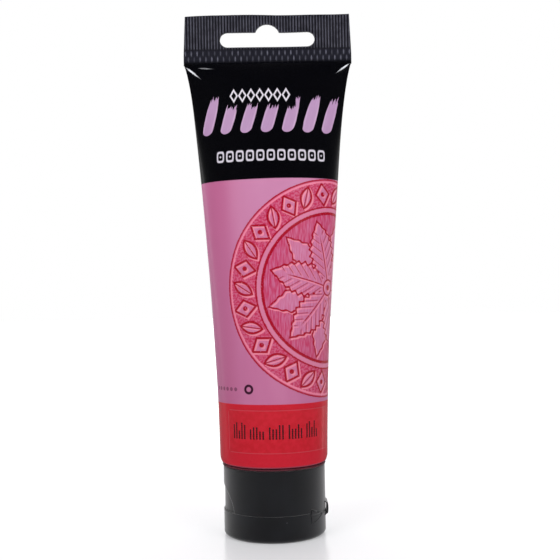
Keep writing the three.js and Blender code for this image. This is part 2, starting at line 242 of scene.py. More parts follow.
scene.world = bpy.data.worlds.new("studio")
room = Finish(scene.world)
direction = room.node("TexCoord")["Generated"]
facing = room.node("SeparateXYZ", {}, {"Vector": direction})["Y"]
glow = FRONT_GLOW + room.ramp(facing, -0.75, 0.0) * (SIDE_GLOW - FRONT_GLOW)
glow = glow + room.ramp(facing, 0.0, 0.7) * (BACK_GLOW - SIDE_GLOW)
glow = glow + room.ramp(facing, 0.86, 0.96) * (HORIZON_GLOW - BACK_GLOW)
seen = room.node("LightPath")["Is Camera Ray"]
room.surface(Color=WHITE, Strength=glow + seen * (1 - glow))

floor_mesh = bpy.data.meshes.new("floor")
shape = bmesh.new()
bmesh.ops.create_circle(shape, cap_ends=True, segments=96, radius=FLOOR_R)
shape.to_mesh(floor_mesh)
shape.free()
floor = bpy.data.objects.new("floor", floor_mesh)
scene.collection.objects.link(floor)

paper = new_finish("floor_paper")
place = paper.node("TexCoord")["Object"]
away = paper.node("VectorMath", {"operation": "LENGTH"}, {0: place})["Value"]
fibre = paper.solid_noise(900)
shows_pale = 1 - paper.node("LightPath")["Is Glossy Ray"] * DIMMED_IN_GLOSS
# The paper glows. Its colour and its glow are painted darker near the tube, a painted shade round
# the tube's foot, and white further off.
white = paper.mix(paper.ramp(away, 0.1, 1.2), ink(240, 240, 242), ink(252, 252, 252))
glow_with_painted_shade = paper.mix(paper.ramp(away, 0.04, 0.6), ink(142, 142, 144), WHITE)
paper.surface(
    Base_Color=paper.mix(shows_pale, BLACK, white),
    Roughness=0.2 + fibre * 0.06,
    Specular_IOR_Level=0.5,
    Emission_Color=paper.mix(shows_pale, BLACK, glow_with_painted_shade),
    Emission_Strength=1.0,
)
floor.data.materials.append(paper.owner)


# %% Lamps
def lamp(name, place, aim_height, size, watts, shows_in_gloss):
    """Rectangular area lamp aimed at the tube's axis, with all lengths in millimetres."""
    light = bpy.data.lights.new(name, "AREA")
    light.shape = "RECTANGLE"
    light.size, light.size_y = size[0] * MM, size[1] * MM
    light.energy = watts
    holder = bpy.data.objects.new(name, light)
    scene.collection.objects.link(holder)
    holder.location = Vector(place) * MM
    aim = Vector((0, 0, aim_height)) - Vector(place)
    holder.rotation_euler = aim.to_track_quat("-Z", "Y").to_euler()
    holder.visible_glossy = shows_in_gloss


lamp("front_left_fill", (-650, -800, 650), 90, (600, 600), 4.4, False)
lamp("front_right_fill", (650, -800, 500), 90, (600, 600), 4.0, False)
lamp("top_fill", (0, 100, 1100), 60, (900, 900), 5.0, False)
lamp("left_strip", (-560, 300, 240), 90, (80, 600), 0.12, True)
lamp("right_strip", (560, 380, 240), 90, (80, 600), 0.1, True)

# %% [markdown]
# ## Meshes from numbers
#
# Every visible piece is built from rows of points, which is how a lofted or turned part is
# drawn. One helper turns points and faces into an object, and three join neighbouring rows with
# faces. One rounds the corners of a profile, so that edges catch the light as moulded edges do,
# and the others add points along it and turn it about the tube's axis.

# %% Mesh helpers
def make_piece(name, points, faces, sharp_degrees=40):
    """Object from points in millimetres. Faces meeting at more than the angle stay crisp."""
    mesh = bpy.data.meshes.new(name)
    mesh.from_pydata((np.asarray(points, float) * MM).tolist(), [], faces)
    shape = bmesh.new()
    shape.from_mesh(mesh)
    bmesh.ops.remove_doubles(shape, verts=shape.verts, dist=2e-7)
    shape.to_mesh(mesh)
    shape.free()
    mesh.shade_smooth()
    mesh.set_sharp_from_angle(angle=math.radians(sharp_degrees))
    made = bpy.data.objects.new(name, mesh)
    scene.collection.objects.link(made)
    return made


def row_faces(rows, columns, close_rows=False):
    """Quads between neighbouring rows of points. Each row is a closed loop."""
    faces = []
    for i in range(rows if close_rows else rows - 1):
        here, above = i * columns, (i + 1) % rows * columns
        for j in range(columns):
            k = (j + 1) % columns
            faces.append((here + j, here + k, above + k, above + j))
    return faces


def closed_faces(rows, columns):
    """Faces of rows of closed loops, with one more face over each end."""
    last = (rows - 1) * columns
    ends = [tuple(range(columns))[::-1], tuple(range(last, last + columns))]
    return row_faces(rows, columns) + ends


def plate_faces(rows, columns):
    """Faces of a plate whose rows run along its front and back along its rear."""
    faces = row_faces(rows, columns)
    last = (rows - 1) * columns
    for j in range(columns // 2 - 1):
        across = (j, j + 1, columns - 2 - j, columns - 1 - j)
        faces += [across[::-1], tuple(last + p for p in across)]
    return faces


def rounded(corners, radius, steps=4, closed=True):
    """The outline with every corner replaced by a short curve."""
    corners = [np.array(c, float) for c in corners]
    count = len(corners)
    outline = []
    for i, corner in enumerate(corners):
        if not closed and i in (0, count - 1):
            outline.append(corner)
            continue
        before, after = corners[i - 1] - corner, corners[(i + 1) % count] - corner
        cut = min(radius, 0.45 * np.linalg.norm(before[:2]), 0.45 * np.linalg.norm(after[:2]))
        start = corner + before * cut / np.linalg.norm(before[:2])
        end = corner + after * cut / np.linalg.norm(after[:2])
        for t in np.linspace(0, 1, steps + 1):
            outline.append((1 - t) ** 2 * start + 2 * t * (1 - t) * corner + t**2 * end)
    return outline


def spaced(outline, step, closed=True):
    """The outline with points added so that no gap is longer than step."""
    outline = [np.array(p, float) for p in outline]
    ends = outline[1:] + (outline[:1] if closed else [])
    points = []
    for start, end in zip(outline, ends):
        parts = max(1, math.ceil(np.linalg.norm((end - start)[:2]) / step))
        points += [start + (end - start) * i / parts for i in range(parts)]
    return points if closed else points + [outline[-1]]


def turned(name, profile, columns=192, ring=True, edge=None, dent=None):
    """Piece turned about the tube's axis from (radius, height) points listed anticlockwise.
    A third number in a point is its share of the lift that `edge` gives at each angle, and
    `dent` gives how far the wall lies in at a place."""
    angle = np.linspace(0, 2 * np.pi, columns, endpoint=False)
    profile = [tuple(p) + (0,) * (3 - len(p)) for p in profile]
    radius, height, share = (np.array(c)[:, None] for c in zip(*profile))
    lift = 0 if edge is None else edge(angle)[None, :]
    z = height + share * lift + np.zeros((1, columns))
    x, y = radius * np.cos(angle), radius * np.sin(angle)
    if dent is not None:
        scale = 1 - dent(x, y, z, radius) / np.maximum(radius, 1e-6)
        x, y = x * scale, y * scale
    points = np.stack([x, y, z], axis=2).reshape(-1, 3)
    return make_piece(name, points, row_faces(len(profile), columns, close_rows=ring))


def ease(value, low, high):
    """Smooth passage from 0 at low to 1 at high."""
    t = np.clip((value - low) / (high - low), 0, 1)
    return t * t * (3 - 2 * t)


# %% [markdown]
# ## The form of the sleeve
#
# The sleeve is round at the head and a flat seam at the crimp. A sheet doesn't stretch, so its
# girth stays nearly the same all the way up: as the depth falls, the width grows. Each section
# is a stretched circle whose ends grow sharper towards the crimp, where the sheet folds. The
# same formula made the CAD's sleeve, so the visible one fits the head and the crimp.
#
# A place on the sheet is given the way a printer would give it: `u` millimetres round from the
# middle of the front, towards the hinge side, and `z` millimetres up.

# %% Sections of the sleeve
TUBE_R = 19.0
HEAD_RIM_Z = 24.5
SLEEVE_ROUND = 2.9
SLEEVE_TUCK = 1.1
SLEEVE_WALL = 0.5
SEAM_HALF = 0.55
GIRTH = 2 * math.pi * TUBE_R
SECTION_STEPS = 1441

SLEEVE_FOOT = reach("sleeve")[0][2]
CRIMP_FOOT, CRIMP_TOP = reach("crimped_end")[0][2], reach("crimped_end")[1][2]
CRIMP_HALF_WIDTH = reach("crimped_end")[1][0]


def sleeve_section(z):
    """Half width, half depth and sharpness of the ends at height z."""
    rise = np.clip((z - HEAD_RIM_Z) / (CRIMP_FOOT - HEAD_RIM_Z), 0, 1)
    spread = 0.86 * rise**1.55 + 0.14 * rise**20
    lip = np.clip(1 - (z - SLEEVE_FOOT) / SLEEVE_ROUND, 0, 1)
    tuck = SLEEVE_TUCK * (1 - math.sqrt(1 - lip**2))
    half_width = TUBE_R + (CRIMP_HALF_WIDTH - TUBE_R) * spread - tuck
    half_depth = SEAM_HALF + (TUBE_R - SEAM_HALF) * (1 - rise**1.8) ** 0.58 - tuck
    return half_width, half_depth, 1 + 0.7 * ease(rise, 0.55, 1)


def sleeve_row(z, u, inset=0.0, offset=0.0):
    """Points of the sheet at height z, at the places u round it, drawn in by inset and then
    moved out by offset."""
    half_width, half_depth, sharpness = sleeve_section(z)
    turn = np.linspace(-1.5 * np.pi, 0.5 * np.pi, SECTION_STEPS)
    across = np.sin(turn)
    x = (half_width - inset * sharpness) * np.cos(turn)
    y = (half_depth - inset) * np.sign(across) * np.abs(across) ** sharpness
    length = np.concatenate([[0], np.cumsum(np.hypot(np.diff(x), np.diff(y)))])
    place = (u / GIRTH + 0.5) * length[-1]
    out_x = np.interp(place, length, np.gradient(y, length))
    out_y = -np.interp(place, length, np.gradient(x, length))
    x = np.interp(place, length, x) + offset * out_x
    y = np.interp(place, length, y) + offset * out_y
    return np.stack([x, y, np.full(len(x), z)], axis=1)


for level in (30, 100, 160):
    print("section at", level, "mm:", [round(float(v), 2) for v in sleeve_section(level)])

# %% [markdown]
# ## Sleeve
#
# Where the round sheet is pressed flat, its corners buckle into short creases that run in and
# down from the ends of the crimp, and the large faces between head and crimp wave a little from
# handling. These are moved points, not a painted bump, because the gloss shows the true shape.
# The sheet keeps its print places in a UV map, in millimetres, for the artwork.

# %% Sleeve mesh
SLEEVE_COLUMNS = 288
CREASED_FROM = 148  # above this height the rows are closer together
INSIDE_FROM, INSIDE_TO = 34, CRIMP_FOOT - 2.6  # heights of the inner face
CREASES = [  # u and z of both ends, width and height, all in millimetres
    ((-29.6, 166.6), (-22.8, 159.6), 0.6, 0.5),
    ((29.6, 166.8), (24.2, 161.6), 0.6, 0.45),
    ((-27.5, 165.6), (-19.5, 164.6), 0.7, 0.16),
    ((27.0, 165.8), (20.5, 164.9), 0.7, 0.1),
]
HANDLING = [  # waves round, waves up, height in millimetres, start
    (2, 1.3, 0.10, 0.4),
    (3, 2.1, 0.06, 2.1),
    (5, 3.4, 0.03, 4.0),
]


def crease_height(u, z):
    """How far the creases lift the sheet at a place, the same in front and behind."""
    u = np.where(np.abs(u) > GIRTH / 4, np.sign(u) * GIRTH / 2 - u, u)
    lifted = np.zeros_like(u)
    for start, end, width, height in CREASES:
        run = np.array(end) - np.array(start)
        length = np.hypot(*run)
        along = ((u - start[0]) * run[0] + (z - start[1]) * run[1]) / length
        beside = ((u - start[0]) * run[1] - (z - start[1]) * run[0]) / length
        fade = ease(along, -0.3, 0.8) * (1 - ease(along, 0.35 * length, length))
        lifted += height * fade * np.exp(-((beside / width) ** 2))
    return lifted


def handling_height(u, z):
    """Long soft waves of the handled sheet, none at the head and the crimp."""
    rise = (z - HEAD_RIM_Z) / (CRIMP_FOOT - HEAD_RIM_Z)
    held = ease(rise, 0.08, 0.35) * (1 - ease(rise, 0.85, 0.99))
    waves = 0
    for around, up, height, start in HANDLING:
        waves = waves + height * np.sin(2 * np.pi * (around * u / GIRTH + up * rise) + start)
    return held * waves


def sleeve_mesh():
    """The sheet's two faces, from its inner top edge round the lip at the head and up again."""
    lip = SLEEVE_FOOT + SLEEVE_ROUND * (1 - np.cos(np.linspace(0, np.pi / 2, 12)))
    middle = np.linspace(SLEEVE_FOOT + SLEEVE_ROUND, CREASED_FROM, 96)[1:]
    shoulder = np.linspace(CREASED_FROM, CRIMP_FOOT - 0.1, 56)[1:]
    outside = np.concatenate([lip, middle, shoulder])
    inside = np.concatenate([np.linspace(INSIDE_TO, INSIDE_FROM, 26), lip[::-3]])
    u = (np.arange(SLEEVE_COLUMNS) / SLEEVE_COLUMNS - 0.5) * GIRTH
    rows = [sleeve_row(z, u, offset=crease_height(u, z) + handling_height(u, z)) for z in outside]
    rows += [sleeve_row(z, u, inset=SLEEVE_WALL) for z in inside]
    rows = rows[len(outside):] + rows[:len(outside)]
    faces = closed_faces(len(rows), SLEEVE_COLUMNS)
    return make_piece("sleeve_sheet", np.concatenate(rows), faces, sharp_degrees=75), u


def add_print_map(piece, u_of_point):
    """UV map called print, holding millimetres round and up. Faces over the back seam keep
    their corners together."""
    mesh = piece.data
    corners = np.zeros(len(mesh.loops), int)
    mesh.loops.foreach_get("vertex_index", corners)
    heights = np.array([v.co.z for v in mesh.vertices]) / MM
    u = u_of_point[corners]
    for face in mesh.polygons:
        span = slice(face.loop_start, face.loop_start + face.loop_total)
        if face.loop_total < 5 and np.ptp(u[span]) > GIRTH / 2:
            u[span] = np.where(u[span] < 0, u[span] + GIRTH, u[span])
    places = np.stack([u, heights[corners]], axis=1)
    layer = mesh.uv_layers.new(name="print")
    layer.data.foreach_set("uv", places.astype(np.float32).ravel())


sleeve, sleeve_u = sleeve_mesh()
add_print_map(sleeve, np.tile(sleeve_u, len(sleeve.data.vertices) // SLEEVE_COLUMNS))
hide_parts("sleeve")
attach(sleeve, "tube")
print("sleeve faces:", len(sleeve.data.polygons))

# %% [markdown]
# ## Crimped end
#
# Two heated jaws press the sheet's walls together. The jaws are ribbed, so the weld carries
# fine upright ribs, and below them two staggered rows of short raised dashes where the jaws'
# edge bit less deeply. A plate is drawn as a fine net of points whose thickness follows those
# patterns, on both faces, and the hanging slot is cut out of it with a Boolean. The cold weld
# is never quite flat, so the whole fin waves gently.

# %% Crimped end mesh
RIB_PITCH = 1.05
RIB_FOOT = 172.2
RIB_HEIGHT = 0.17
DASH_ROWS = [(170.7, 1.05, 0.0), (168.6, 1.15, 0.5)]  # height, half length, shift in pitches
DASH_PITCH = 2.1
DASH_HALF_WIDTH = 0.34
DASH_HEIGHT = 0.2
WELD_HALF = 0.42
FIN_FOOT = 166.5
FIN_WAVE = 0.55
FIN_NARROWING = 0.6
FIN_ROUND = 0.3
FIN_FOOT_SWELL = 0.16
TOP_WAVE = 0.25


def weld_thickness(x, z):
    """Half thickness of the weld at a place on its face."""
    ribs = (0.5 + 0.5 * np.cos(2 * np.pi * x / RIB_PITCH)) ** 0.8
    ribs = ribs * ease(z, RIB_FOOT - 0.3, RIB_FOOT + 0.4)
    dashes = np.zeros_like(x)
    for middle, half_length, shift in DASH_ROWS:
        step = (x / DASH_PITCH + shift + 0.5) % 1 - 0.5
        from_middle = np.hypot(step * DASH_PITCH / DASH_HALF_WIDTH, (z - middle) / half_length)
        dashes = np.maximum(dashes, 1 - ease(from_middle, 0.5, 1.3))
    foot = FIN_FOOT_SWELL * (1 - ease(z, FIN_FOOT, FIN_FOOT + 1.4))
    return WELD_HALF + RIB_HEIGHT * ribs + DASH_HEIGHT * dashes + foot


def fin_wave(x, z):
    """How far the fin bends out of its plane."""
    climb = ease(z, CRIMP_FOOT, CRIMP_TOP)
    return FIN_WAVE * climb * (np.sin(2 * np.pi * (x + 6) / 47) + 0.4 * np.sin(2 * np.pi * x / 21))


def rounding(gap):
    """Share of the full thickness at a distance from the plate's edge."""
    return np.sqrt(1 - (1 - np.clip(gap / FIN_ROUND, 0, 1)) ** 2 * 0.9)


def crimp_mesh():
    """Plate whose thickness follows the jaws' pattern on both faces."""
    count = int(2 * CRIMP_HALF_WIDTH / RIB_PITCH * 8)
    side = np.linspace(-1, 1, count)
    heights = np.concatenate([
        np.arange(FIN_FOOT, RIB_FOOT + 0.6, 0.24),
        np.arange(RIB_FOOT + 0.8, CRIMP_TOP - 0.5, 0.75),
        CRIMP_TOP - FIN_ROUND * (1 - np.sin(np.linspace(0, np.pi / 2, 5))),
    ])
    rows = []
    for z in heights:
        climb = np.clip((z - CRIMP_FOOT - 3) / (CRIMP_TOP - CRIMP_FOOT - 3), 0, 1)
        half_width = CRIMP_HALF_WIDTH - FIN_NARROWING * climb
        x = side * half_width
        thickness = weld_thickness(x, np.full(count, z))
        thickness *= rounding(half_width - np.abs(x)) * rounding(CRIMP_TOP - z)
        wave = fin_wave(x, z)
        height = z + TOP_WAVE * np.sin(2 * np.pi * (x + 20) / 58) * ease(z, 178, CRIMP_TOP)
        height = np.minimum(height, CRIMP_TOP)
        front = np.stack([x, wave - thickness, height], axis=1)
        back = np.stack([x, wave + thickness, height], axis=1)[::-1]
        rows.append(np.concatenate([front, back]))
    faces = plate_faces(len(rows), 2 * count)
    return make_piece("crimp_weld", np.concatenate(rows), faces, sharp_degrees=70)


SLOT_Z = 175.5
SLOT_HALF_WIDTH = 17.0
SLOT_HEIGHT = 5.4
SLOT_DOME_R = 4.45
SLOT_DOME_RISE = 3.0


def slot_outline():
    """Round-ended slot with a round bay above its middle, anticlockwise from the front."""
    half = SLOT_HEIGHT / 2
    end = SLOT_HALF_WIDTH - half
    dome_z = SLOT_Z + half + SLOT_DOME_RISE - SLOT_DOME_R
    dip = math.asin((SLOT_Z + half - dome_z) / SLOT_DOME_R)
    arcs = [
        (end, SLOT_Z, half, -math.pi / 2, math.pi / 2, 16),
        (0, dome_z, SLOT_DOME_R, dip, math.pi - dip, 24),
        (-end, SLOT_Z, half, math.pi / 2, 1.5 * math.pi, 16),
    ]
    points = []
    for x, z, radius, start, stop, steps in arcs:
        for turn in np.linspace(start, stop, steps + 1):
            points.append((x + radius * math.cos(turn), z + radius * math.sin(turn)))
    return rounded(points, 0.35, steps=1)


def cut_out(piece, cutter):
    """Takes the cutter out of the piece, and removes the cutter."""
    step = piece.modifiers.new("cut", "BOOLEAN")
    step.operation = "DIFFERENCE"
    step.solver = "EXACT"
    step.object = cutter
    bpy.context.view_layer.update()
    whole = piece.evaluated_get(bpy.context.evaluated_depsgraph_get())
    cut = bpy.data.meshes.new_from_object(whole)
    piece.modifiers.remove(step)
    piece.data = cut
    bpy.data.objects.remove(cutter)


crimp = crimp_mesh()
slot_ring = slot_outline()
slot_points = [(x, y, z) for y in (4, -4) for x, z in slot_ring]
cut_out(crimp, make_piece("slot_cutter", slot_points, closed_faces(2, len(slot_ring))))
crimp.data.shade_smooth()
crimp.data.set_sharp_from_angle(angle=math.radians(60))
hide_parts("crimped_end")
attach(crimp, "tube")
print("crimp faces:", len(crimp.data.polygons))

# %% [markdown]
# ## Label
#
# A clear film label is stuck low on the front, and the red print shows through it. It is built
# on the sheet's own places, so it follows the curve exactly, with round corners and an edge that
# stands 0.15 mm proud: that edge is what makes a clear label visible at all.

# %% Label mesh
LABEL_LOW, LABEL_HIGH = reach("stick_label")[0][2], reach("stick_label")[1][2]
LABEL_FROM = math.radians(-52) * TUBE_R
LABEL_TO = math.radians(70) * TUBE_R
LABEL_CORNER = 1.3
LABEL_LIFT = 0.05
LABEL_THICKNESS = 0.1


def label_mesh():
    """Thin film with round corners, laid on the sheet's own places."""
    steps = np.concatenate([
        LABEL_CORNER * (1 - np.cos(np.linspace(0, np.pi / 2, 9))),
        np.linspace(LABEL_CORNER, LABEL_HIGH - LABEL_LOW - LABEL_CORNER, 14)[1:-1],
        LABEL_HIGH - LABEL_LOW - LABEL_CORNER * (1 - np.cos(np.linspace(np.pi / 2, 0, 9))),
    ])
    side = np.linspace(0, 1, 90)
    rows, places = [], []
    for up in steps:
        near = min(up, LABEL_HIGH - LABEL_LOW - up)
        short = max(0, LABEL_CORNER - near)
        inset = LABEL_CORNER - math.sqrt(max(0, LABEL_CORNER**2 - short**2))
        u = LABEL_FROM + inset + side * (LABEL_TO - LABEL_FROM - 2 * inset)
        top = sleeve_row(LABEL_LOW + up, u, offset=LABEL_LIFT + LABEL_THICKNESS)
        under = sleeve_row(LABEL_LOW + up, u, offset=LABEL_LIFT - 0.1)
        rows.append(np.concatenate([top, under[::-1]]))
        places.append(np.concatenate([u, u[::-1]]))
    faces = plate_faces(len(rows), 2 * len(side))
    made = make_piece("clear_label", np.concatenate(rows), faces, sharp_degrees=50)
    add_print_map(made, np.concatenate(places))
    return made


label = label_mesh()
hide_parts("stick_label")
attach(label, "tube")
print("label faces:", len(label.data.polygons))

# %% [markdown]
# ## Head and thread
#
# The head is one turned moulding: a skirt that is welded inside the sleeve, a cone, and a neck
# with a thread. Only the rim shows while the cap is on, as a thin dull line. The thread is a
# ridge that climbs round the neck and runs out at both ends; the cap has the matching ridge
# inside its socket, half a pitch lower.

# %% Head mesh
HEAD_RIM_R = 18.2
NECK_R = 8.9
NECK_BORE_R = 6.5
NECK_END = 13.0
NECK_ROOT = 21.3
HEAD_SKIRT_TOP = 31.0
THREAD_PITCH = 3.0
THREAD_TURNS = 1.6
THREAD_START = 14.9
THREAD_BURIED = 0.4
HEAD_WALL = 0.85

skirt_r = TUBE_R - SLEEVE_WALL - 0.3
tuck_r = skirt_r - SLEEVE_TUCK
bend_z = SLEEVE_FOOT + SLEEVE_ROUND
head = turned("tube_shoulder", rounded([
    (NECK_BORE_R, NECK_END), (NECK_R, NECK_END), (NECK_R, NECK_ROOT), (15.6, HEAD_RIM_Z),
    (HEAD_RIM_R, HEAD_RIM_Z), (HEAD_RIM_R, SLEEVE_FOOT - 0.25), (tuck_r, SLEEVE_FOOT - 0.2),
    (skirt_r - 0.25, bend_z - 1.2), (skirt_r, bend_z + 0.3), (skirt_r, HEAD_SKIRT_TOP),
    (skirt_r - HEAD_WALL, HEAD_SKIRT_TOP), (skirt_r - HEAD_WALL, bend_z + 0.3),
    (tuck_r - HEAD_WALL, SLEEVE_FOOT + 0.9), (NECK_BORE_R, NECK_ROOT + 0.9),
], 0.22))


def thread_ridge(name, root_r, outward, shift):
    """Ridge that climbs round a neck (outward) or inside a socket, right-handed."""
    steps = int(THREAD_TURNS * 72)
    side = 1 if outward else -1
    rows = []
    for i in range(steps + 1):
        turn = i / steps * THREAD_TURNS
        run_out = ease(min(i, steps - i) / steps, -0.01, 0.09)
        crest, buried = root_r + side * run_out, root_r - side * THREAD_BURIED
        z = THREAD_START + shift + turn * THREAD_PITCH
        section = rounded([
            (buried, z - 0.75), (crest, z - 0.3), (crest, z + 0.3), (buried, z + 0.75),
        ], 0.2, steps=2)
        if not outward:
            section = section[::-1]
        angle = 2 * math.pi * turn
        rows.append([(r * math.cos(angle), r * math.sin(angle), h) for r, h in section])
    faces = [face[::-1] for face in closed_faces(len(rows), len(rows[0]))]
    return make_piece(name, np.array(rows).reshape(-1, 3), faces)


neck_thread = thread_ridge("neck_thread", NECK_R, True, 0)
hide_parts("tube_head")
for made in (head, neck_thread):
    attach(made, "tube")
print("head faces:", len(head.data.polygons) + len(neck_thread.data.polygons))

# %% [markdown]
# ## Cap body
#
# The cap is black moulding. Its skirt is a turned wall that meets the lid at a hairline seam.
# The lower edge isn't level: on the hinge side it drops to the hinge line and rises again over
# the thin wings of the hinge. The edge is a height that depends on the angle, so one turned net
# can follow it and stay round at its rim. The thumb recess is a shallow arch pressed into the
# same net.

# %% Cap body mesh
CAP_R = 17.9
CAP_WALL = 1.4
CAP_TOP = reach("cap_body")[1][2]
SEAM_Z = 9.1
HINGE_Z = 8.1
GAP = 0.3
SEAM_GAP = 0.06
FOLD_GAP = 0.12
SLIT = 0.3
WING_EDGE = 12.8
WING_TIP = 6.9
WING_LOW = 5.3
WING_HIGH = 10.2
WING_BEND, WING_BEND_Z = 9.2, 8.55  # where the wing's upper edge bends
THUMB_HALF_WIDTH = 11.3
THUMB_HEIGHT = 9.0
THUMB_DEPTH = 0.4
MOULD_ROUND = 0.22


def beside_hinge(angle):
    """Distance from the hinge's middle plane, and far off on the other half of the cap."""
    return np.where(np.cos(angle) > 0, np.abs(CAP_R * np.sin(angle)), 99)


def body_edge(angle):
    """Lower edge of the skirt above its level part."""
    y = beside_hinge(angle)
    tongue = HINGE_Z + GAP
    window = np.interp(y, [WING_TIP, WING_BEND, WING_EDGE],
                       [tongue + 0.1, WING_BEND_Z + GAP, WING_HIGH + GAP])
    level = SEAM_Z + SEAM_GAP / 2
    return (window - level) * (1 - ease(y, WING_EDGE, WING_EDGE + SLIT))


def lid_edge(angle):
    """Upper edge of the lid's wall above its level part."""
    y = beside_hinge(angle)
    tongue = HINGE_Z - GAP / 2
    window = np.interp(y, [WING_TIP, WING_EDGE], [tongue - 0.1, WING_LOW - FOLD_GAP])
    level = SEAM_Z - SEAM_GAP / 2
    return (window - level) * (1 - ease(y, WING_EDGE, WING_EDGE + SLIT))


def thumb_recess(x, y, z, radius):
    """Depth of the thumb recess: an arch on the side away from the hinge."""
    reach_out = np.hypot(y / THUMB_HALF_WIDTH, (z - SEAM_Z) / THUMB_HEIGHT)
    inside = (1 - ease(reach_out, 0.965, 1.0)) * (x < 0) * (radius > CAP_R - 0.6)
    return THUMB_DEPTH * inside


level_z = SEAM_Z + SEAM_GAP / 2
skirt_profile = rounded([
    (CAP_R - CAP_WALL, level_z, 1), (CAP_R, level_z, 1), (CAP_R, CAP_TOP, 0),
    (CAP_R - CAP_WALL, CAP_TOP, 0),
], MOULD_ROUND)
cap_skirt = turned("cap_skirt", spaced(skirt_profile, 0.34), 384, edge=body_edge, dent=thumb_recess)

DECK_TOP = 10.9
DECK_R = CAP_R - 0.7
GROOVE_FROM, GROOVE_TO = 15.1, 16.0
NOZZLE_END = 4.6
NOZZLE_BORE_R = 2.5
SOCKET_R = 10.3
SOCKET_OUTER_R = SOCKET_R + 1.6
SOCKET_TOP = 20.5
cap_deck = turned("cap_deck", rounded([
    (NOZZLE_BORE_R, NOZZLE_END), (4.0, NOZZLE_END), (4.8, level_z),
    (GROOVE_FROM, level_z), (GROOVE_FROM, level_z - 1),
    (GROOVE_TO, level_z - 1), (GROOVE_TO, level_z), (DECK_R, level_z + 0.2), (DECK_R, DECK_TOP),
    (SOCKET_OUTER_R, DECK_TOP), (SOCKET_OUTER_R, SOCKET_TOP),
    (SOCKET_R, SOCKET_TOP), (SOCKET_R, DECK_TOP), (NOZZLE_BORE_R, DECK_TOP),
], 0.18))
cap_thread = thread_ridge("cap_thread", SOCKET_R, False, -THREAD_PITCH / 2)
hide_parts("cap_body")
for made in (cap_skirt, cap_deck, cap_thread):
    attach(made, "closure")
print("cap body faces:", sum(len(o.data.polygons) for o in (cap_skirt, cap_deck, cap_thread)))

# %% [markdown]
# ## Lid
#
# The lid is the foot that the tube stands on: a ring with a shallow hollow inside it, a wall
# that continues the skirt, and a pin in the middle that plugs the nozzle. Its profile runs from
# the middle of the underside round to the tip of the pin, and only its wall follows the edge.

# %% Lid mesh
LID_RECESS = 0.5
LID_ROUND = 0.05
LID_FLOOR = 1.9
FOOT_ROUND = 1.6
PIN_R, PIN_SHOULDER = 2.1, 6.6
PIN_TIP_R, PIN_END = 1.7, 7.5
lid_wall_r = CAP_R - CAP_WALL + 0.1
lid_top = SEAM_Z - SEAM_GAP / 2
foot_arc = [
    (CAP_R - FOOT_ROUND + FOOT_ROUND * math.cos(t), FOOT_ROUND + FOOT_ROUND * math.sin(t), 0)
    for t in np.linspace(-math.pi / 2, 0, 10)
]
lid_profile = rounded([
    (0, LID_RECESS, 0), (13, LID_RECESS, 0), (13.5, 0, 0), (15.6, 0, 0),
], 0.2, closed=False)[:-1] + foot_arc + rounded([
    (CAP_R, 2.6, 0), (CAP_R, lid_top, 1), (lid_wall_r, lid_top, 1), (lid_wall_r, LID_FLOOR, 0),
    (PIN_R, LID_FLOOR, 0), (PIN_R, PIN_SHOULDER, 0), (PIN_TIP_R, PIN_END, 0), (0, PIN_END, 0),
], LID_ROUND, closed=False)
lid_profile = spaced(lid_profile, 0.5, closed=False)
cap_lid = turned("lid_shell", lid_profile, 384, ring=False, edge=lid_edge)
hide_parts("cap_lid")
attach(cap_lid, "lid")
print("lid faces:", len(cap_lid.data.polygons))

# %% [markdown]
# ## Hinge
#
# Cap body and lid are one moulding, joined by a short bowed strap and two thin triangular wings
# that let the lid snap open. The strap's ends run into the walls that they grow from. Each wing
# has a fold line across it and stands between narrow gaps, with a slit at its outer edge.

# %% Strap and wings
STRAP_HALF_WIDTH = 4.0
STRAP_LOW, STRAP_HIGH = 7.0, 11.4
STRAP_OUT = CAP_R + GAP + 0.3
WING_R = CAP_R - 0.14
WING_FILM = 0.6


def strap_mesh():
    """Band that leaves the wall of the lid, bows out and goes back into the body's wall."""
    rows = []
    for t in np.linspace(0, 1, 36):
        z = STRAP_LOW - 0.35 + t * (STRAP_HIGH - STRAP_LOW + 0.35)
        root = 1 - ease(t, 0, 0.16) * (1 - ease(t, 0.84, 1))
        bow = 0.3 * math.sin(math.pi * t) ** 0.8
        outer = STRAP_OUT + bow - 0.75 * root
        inner = max(CAP_R + 0.02 - 0.9 * root, STRAP_OUT - 0.4 + 0.6 * bow - 1.2 * root)
        half = STRAP_HALF_WIDTH + 0.3 * root
        section = rounded([(inner, -half), (outer, -half), (outer, half), (inner, half)], 0.16, 3)
        rows.append([(x, y, z) for x, y in spaced(section, 0.9)[:60]])
    count = min(len(r) for r in rows)
    points = np.array([r[:count] for r in rows]).reshape(-1, 3)
    return make_piece("hinge_strap_band", points, closed_faces(len(rows), count))


